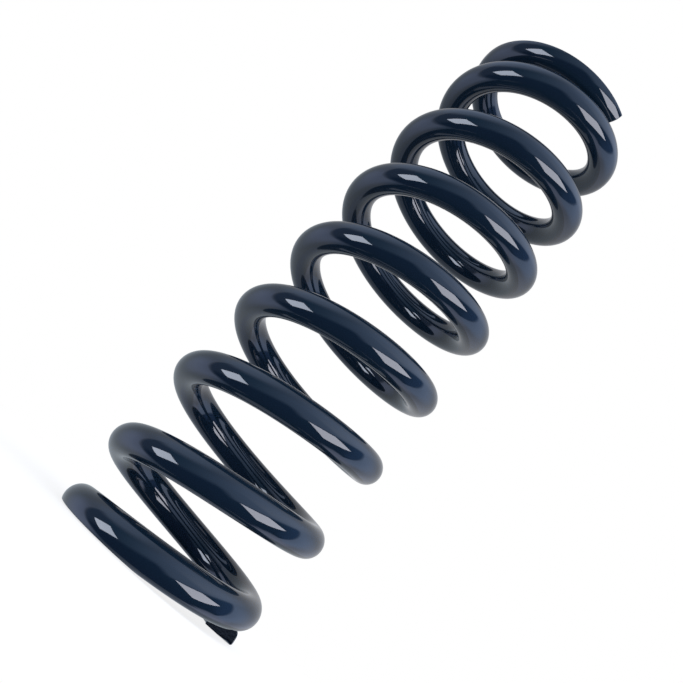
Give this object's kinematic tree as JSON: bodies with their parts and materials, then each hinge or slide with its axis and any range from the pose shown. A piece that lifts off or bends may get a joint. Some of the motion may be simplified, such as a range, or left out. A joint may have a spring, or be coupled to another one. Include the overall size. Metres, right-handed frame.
{
  "type": "coilover spring",
  "caption": "Right-hand wound steel coil spring with closed, ground ends and slightly wider body coils, finished in gloss navy powder coat, for a height-adjustable shock absorber.",
  "frame": {"origin": "on the spring's axis, in the plane of the bottom ground face", "axes": "+Z along the spring's axis from the bottom ground face to the top one; the bottom tip lies near +X"},
  "size_m": [0.1018, 0.1018, 0.3048],
  "materials": {
    "powder_coat": "gloss"
  },
  "bodies": {
    "root": {"coil_spring": "powder_coat"}
  },
  "joints": []
}
